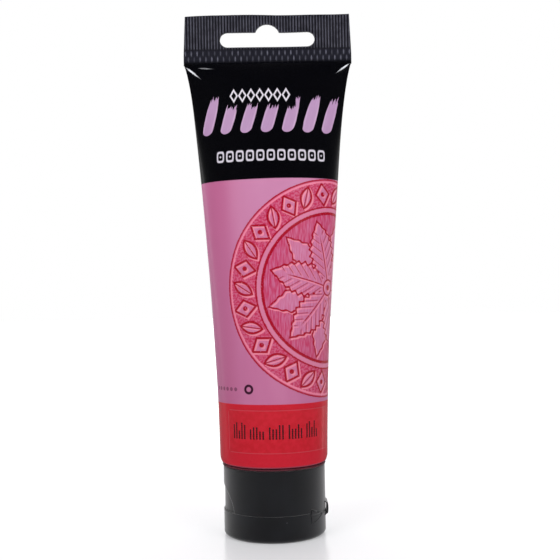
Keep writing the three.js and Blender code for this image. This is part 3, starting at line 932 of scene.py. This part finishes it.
def wing_mesh(name, side):
    """Thin film between a tip beside the strap and a tall outer edge, with a fold across."""
    rows = []
    for across in np.linspace(WING_TIP, WING_EDGE - SLIT, 30):
        low = np.interp(across, [WING_TIP, WING_EDGE], [HINGE_Z - 0.15, WING_LOW])
        high = np.interp(across, [WING_TIP, WING_BEND, WING_EDGE],
                         [HINGE_Z + 0.15, WING_BEND_Z, WING_HIGH])
        z = low + (high - low) * (1 - np.cos(np.linspace(0, np.pi, 22))) / 2
        fold = 0.22 * np.exp(-(((z - HINGE_Z) / 0.22) ** 2))
        lip = 0.05 * (1 - np.minimum(1, np.minimum(z - low, high - z) / 0.15))
        film = WING_FILM - 0.35 * ease(across, WING_EDGE - 1.2, WING_EDGE - SLIT)
        taper = film * 0.6 * ease(z, high - 0.6, high)
        outer, inner = WING_R - fold - lip, WING_R - film + taper + np.minimum(lip, film / 6)
        round_film = list(zip(outer, z)) + list(zip(inner, z))[::-1]
        rows.append([(math.sqrt(r * r - across**2), side * across, h) for r, h in round_film])
    faces = closed_faces(len(rows), len(rows[0]))
    if side > 0:
        faces = [face[::-1] for face in faces]
    return make_piece(name, np.array(rows).reshape(-1, 3), faces)


strap = strap_mesh()
wing_front = wing_mesh("hinge_film_front", -1)
wing_rear = wing_mesh("hinge_film_rear", 1)
hinge_pieces = (
    (strap, "hinge_strap"),
    (wing_front, "hinge_wing_front"),
    (wing_rear, "hinge_wing_rear"),
)
for made, node in hinge_pieces:
    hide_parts(node)
    film = reach(node)
    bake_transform(made)
print("hinge faces:", sum(len(o.data.polygons) for o in (strap, wing_front, wing_rear)))

# %% [markdown]
# ## Printed film: where the colours lie
#
# The artwork was printed on the flat sheet, so its finish is drawn in the sheet's own
# millimetres, from the print map. The ground is a black field above, a mauve field and a red
# field at the head. Printed plastic isn't one even colour: the mauve is a little darker in one
# upright band, with a fine mottle, and paler in its upper middle, which is a painted reflection
# of soft light. The cut edge of the sheet at the head carries no ink and is a dull rose.

# %% Ground colours
BLACK_FROM = 123.9
RED_TO = 46.8
REGISTER_SWAY = 0.25  # the black field's edge isn't quite square to the tube

film = new_finish("printed_film")
sheet = film.node("SeparateXYZ", {}, {"Vector": film.node("UVMap", {"uv_map": "print"})})
u, v = sheet["X"], sheet["Y"]
mottle = film.flat_noise(u, v, 0.9, 4)
cloud = film.flat_noise(u, v * 0.4, 0.07)
# the mauve is darker in one upright band on the left
full = film.ramp(abs(u + 19), 9, 2) * 0.8
# painted reflection: the mauve is paler in the upper middle, where soft light reflects
thin = film.ramp(abs(u - 3), 24, 4) * film.ramp(v, 70, 120)
mauve = film.mix(film.ramp(cloud, 0.35, 0.65), ink(195, 112, 155), ink(200, 120, 161))
mauve = film.mix(full, mauve, ink(190, 102, 145))
mauve = film.mix(thin * 0.6, mauve, ink(208, 146, 184))
scarlet = film.mix(mottle, ink(203, 20, 42), ink(213, 26, 50))
print("ground nodes:", len(film.tree.nodes))

# %% [markdown]
# ## Printed film: the round ornament
#
# A large round stamp is printed over the mauve, half round the side of the tube. It looks like
# a woodcut: dark red lines with a pale line beside each, as if pressed into wet clay. The lines
# are worked out as distances: a place is on a line where its distance from the line is small.
# Working them out twice, the second time a little to one side, gives the pale echo.
#
# The design itself is a plain one made for this lesson: a ring of leaves and lozenges round a
# flower of twelve leaves.

# %% Stamp helpers
STAMP_U, STAMP_Z = 23.0, 86.0
STAMP_R = 38.0
DISC_R = 25.9
RING_LOW, RING_HIGH = 28.1, 37.2
RING_MARKS = 30
LEAVES = 6
LEAF_TURN = 0.26
HUB_R = 2.7
FRONT_LEAF = {"length": 23.8, "width": 5.4, "teeth": 2.6}
BACK_LEAF = {"length": 24.6, "width": 4.6, "teeth": 2.2}
SLANT = math.radians(32)  # of the leaves in the ring
ECHO = 0.55


def line(distance, half_width):
    """1 on a line, from the distance to its middle."""
    return film.ramp(abs(distance), half_width + 0.13, half_width - 0.13)


def sector_place(distance, direction, count, turn=0.0):
    """Place along and beside the middle line of its own sector."""
    width = 2 * math.pi / count
    within = film.math("WRAP", direction + turn, width / 2, -width / 2)
    return distance * film.math("COSINE", within), distance * film.math("SINE", within)


def leaf(along, beside, length, width, teeth):
    """Distance outside a pointed leaf with a toothed edge; below 0 inside it."""
    share = along / length
    toothed = 1 + 0.09 * film.math("SINE", along * teeth)
    half = film.math("SINE", share * math.pi) * toothed * width
    return abs(beside) - half


def flower(distance, direction):
    """Two rings of leaves. Returns the mask of their lines and the mask of their faces."""
    along, beside = sector_place(distance, direction, LEAVES, LEAF_TURN)
    front = leaf(along, beside, **FRONT_LEAF)
    between = LEAF_TURN + math.pi / LEAVES
    back = leaf(*sector_place(distance, direction, LEAVES, between), **BACK_LEAF)
    inside_front = film.ramp(front, 0.1, -0.1)
    clear_of_front = 1 - film.ramp(front, 0.5, 0.2)
    vein = line(beside, 0.22) * film.ramp(along, 19, 15)
    barbs = line(film.math("PINGPONG", along - abs(beside) * 1.1, 1.5) - 0.1, 0.18)
    barbs = barbs * inside_front * film.ramp(abs(beside), 0.6, 1.2) * 0.7
    lines = line(front, 0.4) | line(back, 0.34) * clear_of_front | vein | barbs
    hub = line(distance - HUB_R, 0.3) | film.ramp(distance, 1.1, 0.9)
    faces = inside_front | film.ramp(back, 0.1, -0.1)
    return lines * film.ramp(distance, HUB_R, HUB_R + 0.5) | hub, faces


def ring_marks(distance, direction):
    """Leaves and lozenges in turn, as outlines, in the ring round the flower."""
    along, beside = sector_place(distance, direction, RING_MARKS)
    up = along - (RING_LOW + RING_HIGH) / 2
    across = beside * math.cos(SLANT) + up * math.sin(SLANT)
    length = up * math.cos(SLANT) - beside * math.sin(SLANT)
    slanted = (abs(across) / 1.9 + (length / 3.9) ** 2 - 1) * 1.6
    lozenge = (abs(beside) / 2.9 + abs(up) / 3.9 - 1) * 2.3
    leaf_lines = line(slanted, 0.36) | line(across, 0.2) * (slanted < 0)
    lozenge_lines = line(lozenge, 0.36) | film.ramp(film.span(beside, up), 0.95, 0.7)
    number = film.math("ROUND", direction * (RING_MARKS / (2 * math.pi)))
    odd = abs(film.math("MODULO", number, 2))
    lines = odd * leaf_lines + (1 - odd) * lozenge_lines
    faces = odd * film.ramp(slanted, 0.1, -0.1) + (1 - odd) * film.ramp(lozenge, 0.1, -0.1)
    within = film.ramp(distance, RING_LOW - 0.2, RING_LOW + 0.2)
    within = within * film.ramp(distance, RING_HIGH, RING_HIGH - 0.3)
    return lines * within, faces * within


def stamp_lines(shift_u, shift_z):
    """The stamp's lines, the faces of its marks and the distance from its middle, moved by a
    small step."""
    x = film.math("WRAP", u - (STAMP_U + shift_u), GIRTH / 2, -GIRTH / 2)
    y = v - (STAMP_Z + shift_z)
    distance, direction = film.span(x, y), film.math("ARCTAN2", y, x)
    flower_lines, flower_faces = flower(distance, direction)
    marks, mark_faces = ring_marks(distance, direction)
    return flower_lines | marks, flower_faces | mark_faces, distance


# %% Stamp colours
lines, faces, from_middle = stamp_lines(0, 0)
echo = stamp_lines(ECHO, -ECHO)[0]
streaks = film.flat_noise(u * 2.6, v * 0.22, 1.0, 3)
hatch = film.flat_noise(u * 1.1, v * 1.1, 1.3, 3)
wobble = (hatch - 0.5) * 0.5
rim = from_middle + wobble
on_stamp = film.ramp(rim, STAMP_R + 0.2, STAMP_R - 0.1)
in_disc = film.ramp(rim, DISC_R + 0.1, DISC_R - 0.1)
pale_ring = film.ramp(rim, DISC_R, DISC_R + 0.3) * film.ramp(rim, RING_LOW - 0.1, RING_LOW - 0.5)

band_colour = film.mix(film.ramp(hatch, 0.42, 0.6), ink(198, 54, 92), ink(206, 98, 134))
disc_colour = film.mix(film.ramp(streaks, 0.4, 0.62), ink(196, 60, 100), ink(202, 104, 144))
face_colour = film.mix(film.ramp(streaks, 0.35, 0.7), ink(206, 118, 158), ink(210, 138, 176))
stamp = film.mix(in_disc, band_colour, disc_colour)
stamp = film.mix(faces * 0.75, stamp, face_colour)
stamp = film.mix(pale_ring, stamp, ink(216, 126, 160))
stamp = film.mix(echo * 0.8, stamp, ink(242, 146, 168))
for radius, half_width in ((DISC_R, 0.5), (RING_LOW, 0.26), (STAMP_R, 0.4)):
    lines = lines | line(rim - radius, half_width)
stamp = film.mix(lines * film.ramp(hatch, 0.24, 0.42), stamp, ink(168, 12, 38))
outer_echo = line(rim - (STAMP_R - 1.0), 0.34) * 0.8
stamp = film.mix(outer_echo, stamp, ink(240, 140, 168))
print("with the stamp:", len(film.tree.nodes), "nodes")

# %% [markdown]
# ## Printed film: marks on the black
#
# Lettering is left out. In its place stand marks of the same size and colour: a row of slanted
# brush dabs in lilac, which end in bristle streaks, with a row of small lozenges above and a row
# of small rounded squares below. A short row of specks and a small ring stand low on the mauve.
# The back of the tube carries all but the ring again. At the corners of the crimp, where the
# sheet is folded hardest, a white painted highlight runs along each fold.

# %% Marks
PAINTED_FOLD_HIGHLIGHTS = [  # u and z of both ends, half width in millimetres, strength
    ((-29.9, 166.3), (-24.2, 160.7), 0.46, 1.0),
    ((29.7, 166.7), (24.4, 162.2), 0.42, 0.95),
    ((-25.6, 165.4), (-18.6, 164.7), 0.3, 0.3),
]
DAB_Z, DAB_PITCH, DAB_LEAN = 147.2, 7.6, 0.3
DAB_FROM, DAB_TO = -25.6, 27.6
DAB_TOP, DAB_FOOT, DAB_HALF_WIDTH = 5.6, -4.7, 2.35
LOZENGE_ROW = (154.1, -14.2, 8.2, 3.2)  # height, start, end, pitch
TILE_ROW = (132.2, -19.9, 21.35, 3.75)
SPECK_ROW = (51.8, -24.4, -12.4, 2.0)
RING_U, RING_Z, RING_R = -8.2, 51.9, 1.25
side_u = film.math("WRAP", u, GIRTH / 4, -GIRTH / 4)


def row_of_marks(middle_z, first, last, pitch, lean=0.0):
    """Place beside and above the middle of the nearest mark of a row, and the mask of the
    row's own length."""
    up = v - middle_z
    along = side_u - up * lean - first
    beside = film.math("WRAP", along, pitch, 0) - pitch / 2
    own = film.ramp(along, 0, 0.01) * film.ramp(along, last - first, last - first - 0.01)
    return beside, up, own


beside, up, own = row_of_marks(DAB_Z, DAB_FROM, DAB_TO, DAB_PITCH, DAB_LEAN)
slanted_u = side_u - up * DAB_LEAN
chance = film.luck(film.math("FLOOR", (slanted_u - DAB_FROM) / DAB_PITCH) + 7.3)
bristles = film.flat_noise(slanted_u * 1.9, up * 0.12, 1.0, 3)
under_lozenges = film.ramp(abs(side_u + 3), 13.2, 13.1)
top = DAB_TOP - under_lozenges * 3.4 + chance * 1.2 + (bristles - 0.5) * 8
belly = DAB_HALF_WIDTH - 0.012 * (up + 2) ** 2 + (bristles - 0.5) * 0.5
dab = film.ramp(abs(beside), belly, belly - 0.2) * film.ramp(up, top, top - 0.35)
foot = film.span(beside / 2.3, (up - DAB_FOOT) / 2.2)
dab = dab * (film.ramp(up, DAB_FOOT - 0.1, DAB_FOOT + 0.1) | film.ramp(foot, 1.0, 0.93)) * own
rim_light = film.ramp(abs(beside), 1.2, 2.0)
lilac = film.mix(rim_light * 0.6 + (bristles - 0.5), ink(184, 146, 186), ink(206, 172, 206))

beside, up, own = row_of_marks(*LOZENGE_ROW)
lozenges = line((abs(beside) / 1.25 + abs(up) / 2.1 - 1) * 1.05, 0.26) * own
beside, up, own = row_of_marks(*TILE_ROW)
tile_edge = film.math("SQRT", film.span((beside / 1.2) ** 2, (up / 1.65) ** 2)) - 1
tiles = (line(tile_edge * 1.4, 0.3) | line(abs(beside) + abs(up) - 0.2, 0.2)) * own
beside, up, own = row_of_marks(*SPECK_ROW)
specks = film.ramp(film.span(beside, up), 0.75, 0.6) * own
small_ring = line(film.span(u - RING_U, v - RING_Z) - RING_R, 0.42)

fold_u = GIRTH / 4 - abs(film.math("WRAP", u - GIRTH / 4, GIRTH / 2, -GIRTH / 2))
# painted highlight along the folds at the crimp's corners, where the sheet catches the light
fold_highlight = 0.0
for (start_u, start_z), (end_u, end_z), half_width, strength in PAINTED_FOLD_HIGHLIGHTS:
    length = math.hypot(end_u - start_u, end_z - start_z)
    run_u, run_z = (end_u - start_u) / length, (end_z - start_z) / length
    along = ((fold_u - start_u) * run_u + (v - start_z) * run_z) / length
    beside = abs((fold_u - start_u) * run_z - (v - start_z) * run_u) / half_width
    taper = film.ramp(along, 0, 0.3) * film.ramp(along, 1, 0.45)
    fold_highlight = fold_highlight + film.ramp(beside / (taper + 0.05), 1, 0.3) * taper * strength

black = film.mix(dab, ink(5, 5, 9), lilac)
black = film.mix(lozenges, black, ink(228, 222, 232))
black = film.mix(tiles, black, ink(214, 208, 220))
# the folds' painted highlight goes over the black
black = film.mix(fold_highlight, black, ink(236, 238, 244))
print("with the marks:", len(film.tree.nodes), "nodes")

# %% [markdown]
# ## Printed film: putting it together
#
# The fields are laid over each other as the press does it: mauve first, then stamp, red and
# black. The lacquer over the ink is glossy and a little uneven: long upright ripples from the
# drawn sheet and a fine orange peel, both far too shallow to model.

# %% Film surface
ground = film.mix(on_stamp, mauve, stamp)
ground = film.mix(specks * 0.55 | small_ring, ground, ink(60, 20, 44))
ground = film.mix(film.ramp(v, RED_TO + 0.12, RED_TO - 0.12), ground, scarlet)
square = v - film.math("SINE", u / TUBE_R) * REGISTER_SWAY
ground = film.mix(film.ramp(square, BLACK_FROM - 0.12, BLACK_FROM + 0.12), ground, black)
ground = film.mix(film.ramp(v, SLEEVE_FOOT + 0.75, SLEEVE_FOOT + 0.3), ground, ink(156, 66, 84))
ripple = film.flat_noise(u * 0.9, v * 0.035, 1.0, 2)
peel = film.flat_noise(u, v, 1.8, 2)
film.surface(
    Base_Color=ground,
    Roughness=0.2 + mottle * 0.08,
    Specular_IOR_Level=0.4,
    Normal=film.bump(ripple + peel * 0.25, 0.25, 0.06),
)
sleeve.data.materials.append(film.owner)
print("film nodes:", len(film.tree.nodes))

# %% [markdown]
# ## Crimped film
#
# The same black sheet, but heated and pressed: rubbing has left the rib tops matt, and the gloss
# is left in the valleys. The tops of the ribs and of the dashes are painted greyish, a painted
# highlight together with that wear. It follows the ribs, which are drawn in the finish with the
# same pitch as in the mesh, and fades in patches.

# %% Crimp finish
weld = new_finish("crimped_film")
at = weld.node("SeparateXYZ", {}, {"Vector": weld.node("TexCoord")["Object"]})
x_mm, z_mm = at["X"] / MM, at["Z"] / MM
patches = weld.flat_noise(x_mm, z_mm, 0.35, 3)
grain = weld.flat_noise(x_mm * 2, z_mm, 3.0, 3)
rib_top = 0.5 + 0.5 * weld.math("COSINE", x_mm * (2 * math.pi / RIB_PITCH))
# painted highlight on the rib tops, together with their wear
rib_highlight_and_wear = rib_top**2 * weld.ramp(z_mm, RIB_FOOT - 0.3, RIB_FOOT + 0.4)
rib_highlight_and_wear = rib_highlight_and_wear * (0.45 + weld.ramp(patches, 0.3, 0.65) * 0.55)
# painted highlight on the dash tops, together with their wear
dash_highlight_and_wear = 0.0
for middle, half_length, shift in DASH_ROWS:
    step = weld.math("WRAP", x_mm / DASH_PITCH + shift, 0.5, -0.5) * (DASH_PITCH / DASH_HALF_WIDTH)
    climb = (z_mm - middle) / half_length
    seat = weld.math("FLOOR", x_mm / DASH_PITCH + shift + 0.5) + middle
    shape_of_dash = weld.ramp(weld.span(step, climb), 1.15, 0.4)
    dash_highlight_and_wear = dash_highlight_and_wear + shape_of_dash * (0.35 + weld.luck(seat) * 0.9)
rib_highlight_and_wear = rib_highlight_and_wear + dash_highlight_and_wear
below_ribs = weld.ramp(z_mm, RIB_FOOT, RIB_FOOT - 0.6)
valley = weld.mix(below_ribs, ink(17, 16, 24), ink(30, 30, 40))
# rib and dash tops painted greyish: painted highlight with wear
base = weld.mix(rib_highlight_and_wear * 0.85, valley, ink(92, 92, 106))
base = weld.mix(weld.ramp(grain, 0.62, 0.75) * 0.3, base, ink(96, 96, 108))
base = weld.mix(weld.ramp(z_mm, CRIMP_FOOT + 1.2, CRIMP_FOOT - 0.4), base, ink(6, 6, 10))
weld.surface(
    Base_Color=base,
    Roughness=0.3 + rib_highlight_and_wear * 0.12 + grain * 0.06,
    Normal=weld.bump(grain, 0.3, 0.05),
)
crimp.data.materials.append(weld.owner)

# %% [markdown]
# ## Cap plastic
#
# The cap is satin black moulding. Its tool was lightly spark-eroded, which leaves an even fine
# grain, and handling leaves a few pale specks and a faint cloudiness. The grain is a bump, and
# it scatters light that grazes it, which the sheen stands for: the sides of the cap look paler.
# The specks sit in a few cells of a coarse cell pattern.

# %% Cap finish
moulded = new_finish("cap_plastic")
spot = moulded.node("TexCoord")["Object"]
grain = moulded.solid_noise(5200, detail=2)
haze = moulded.solid_noise(90)
cells = moulded.node("TexVoronoi", {}, {"Vector": spot, "Scale": 230, "Randomness": 1})
specks_near = moulded.ramp(cells["Distance"], 0.075, 0.05)
cell_tone = moulded.node("SeparateXYZ", {}, {"Vector": cells["Color"]})["X"]
specks_near = specks_near * (cell_tone > 0.93)
satin = moulded.mix(moulded.ramp(haze, 0.35, 0.7), ink(17, 18, 23), ink(23, 25, 31))
satin = moulded.mix(specks_near * 0.7, satin, ink(150, 152, 158))
moulded.surface(
    Base_Color=satin,
    Roughness=0.5 + haze * 0.12,
    Specular_IOR_Level=0.8,
    Sheen_Weight=0.9,
    Sheen_Roughness=0.42,
    Normal=moulded.bump(grain, 0.25, 0.04),
)
for made in (cap_skirt, cap_deck, cap_thread, cap_lid, strap, wing_front, wing_rear):
    made.data.materials.append(moulded.owner)

# %% [markdown]
# ## Label film
#
# The label is clear, so its colour is the red behind it, a little paler along its edge, where
# the film catches the light. The marks on it are dots from a needle printer. They stand in
# columns of different heights, in five groups, and spell nothing.

# %% Label finish
clear = new_finish("label_film")
sheet = clear.node("SeparateXYZ", {}, {"Vector": clear.node("UVMap", {"uv_map": "print"})})
lu, lv = sheet["X"], sheet["Y"]
DOT_PITCH = 0.55
DOT_ROWS = 8
GROUP_COLUMNS = 12
STROKES_UNTIL = 9  # of the twelve columns of a group
PRINT_FROM, PRINT_COLUMNS = -14.6, 57
PRINT_LOW = 35.2

from_start = (lu - PRINT_FROM) / DOT_PITCH
column = clear.math("FLOOR", from_start)
line_up = (lv - PRINT_LOW) / (DOT_PITCH * 1.25)
row = clear.math("FLOOR", line_up)
in_column = clear.math("FRACT", from_start) - 0.5
in_row = clear.math("FRACT", line_up) - 0.5
dot = clear.ramp(clear.span(in_column, in_row), 0.72, 0.46)
stroke = row - DOT_ROWS * 0.45 < clear.luck(column) * DOT_ROWS * 0.6
stroke = stroke * (clear.math("PINGPONG", column, 1) < 0.5)
group = clear.math("WRAP", column + 0.5, GROUP_COLUMNS, 0) < STROKES_UNTIL
inside = (column > -0.5) * (column < PRINT_COLUMNS - 0.5) * (row > -0.5) * (row < DOT_ROWS - 0.5)
dots = dot * stroke * group * inside

edge_u = clear.math("MINIMUM", lu - LABEL_FROM, LABEL_TO - lu)
edge_v = clear.math("MINIMUM", lv - LABEL_LOW, LABEL_HIGH - lv)
from_edge = clear.math("MINIMUM", edge_u, edge_v)
cloud = clear.flat_noise(lu, lv, 0.5, 3)
tint = clear.mix(clear.ramp(cloud, 0.35, 0.65), ink(202, 18, 38), ink(211, 24, 46))
tint = clear.mix(clear.ramp(from_edge, 0.4, 0.1) * 0.3, tint, ink(214, 110, 126))
tint = clear.mix(dots * 0.95, tint, ink(40, 4, 14))
clear.surface(
    Base_Color=tint,
    Roughness=0.12 + cloud * 0.08,
    Coat_Weight=0.5,
    Coat_Roughness=0.04,
    Normal=clear.bump(cloud, 0.2, 0.05),
)
label.data.materials.append(clear.owner)

# %% [markdown]
# ## Finishes that mostly stay out of sight
#
# The head is tinted plastic, dark rose and a little waxy. Inside the closed tube are the paint,
# the foil over the neck and the foam ring in the cap. They show when the tube is taken apart,
# so each gets its own finish: the paint has the marks of slow flow, the foil is rolled metal,
# and the foam is a dense field of small cells.

# %% Head, paint, foil and foam
waxy = new_finish("head_plastic")
wax = waxy.solid_noise(260)
waxy.surface(
    Base_Color=waxy.mix(wax, ink(92, 34, 46), ink(110, 46, 58)),
    Roughness=0.36 + wax * 0.1,
    Subsurface_Weight=0.2,
    Subsurface_Radius=(0.002, 0.0016, 0.0016),
    Normal=waxy.bump(wax, 0.15, 0.1),
)
head.data.materials.append(waxy.owner)
neck_thread.data.materials.append(waxy.owner)

paste = new_finish("paint")
flow = paste.solid_noise(60, detail=4, distortion=1.5)
paste.surface(
    Base_Color=paste.mix(flow, ink(150, 10, 26), ink(190, 24, 44)),
    Roughness=0.18 + flow * 0.15,
    Normal=paste.bump(flow, 0.4, 0.4),
)

rolled = new_finish("foil")
spot = rolled.node("TexCoord")["Object"]
stretched = rolled.node("VectorMath", {"operation": "MULTIPLY"}, {0: spot, 1: (1, 14, 1)})
rolling = rolled.node("TexNoise", {}, {"Vector": stretched, "Scale": 420, "Detail": 3})["Fac"]
rolled.surface(
    Base_Color=rolled.mix(rolling, ink(186, 188, 192), ink(222, 223, 226)),
    Metallic=1.0,
    Roughness=0.22 + rolling * 0.16,
    Normal=rolled.bump(rolling, 0.2, 0.1),
)

cellular = new_finish("foam")
spot = cellular.node("TexCoord")["Object"]
bubbles = cellular.node("TexVoronoi", {}, {"Vector": spot, "Scale": 2400})["Distance"]
cellular.surface(
    Base_Color=cellular.mix(bubbles, ink(214, 210, 198), ink(246, 244, 238)),
    Roughness=0.85 + bubbles * 0.1,
    Normal=cellular.bump(bubbles, 0.5, 0.2),
)
for node, coat in (("paint_fill", paste), ("foil_seal", rolled), ("seal_washer", cellular)):
    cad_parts[node].material_slots[0].material = coat.owner
print("materials:", len(bpy.data.materials))
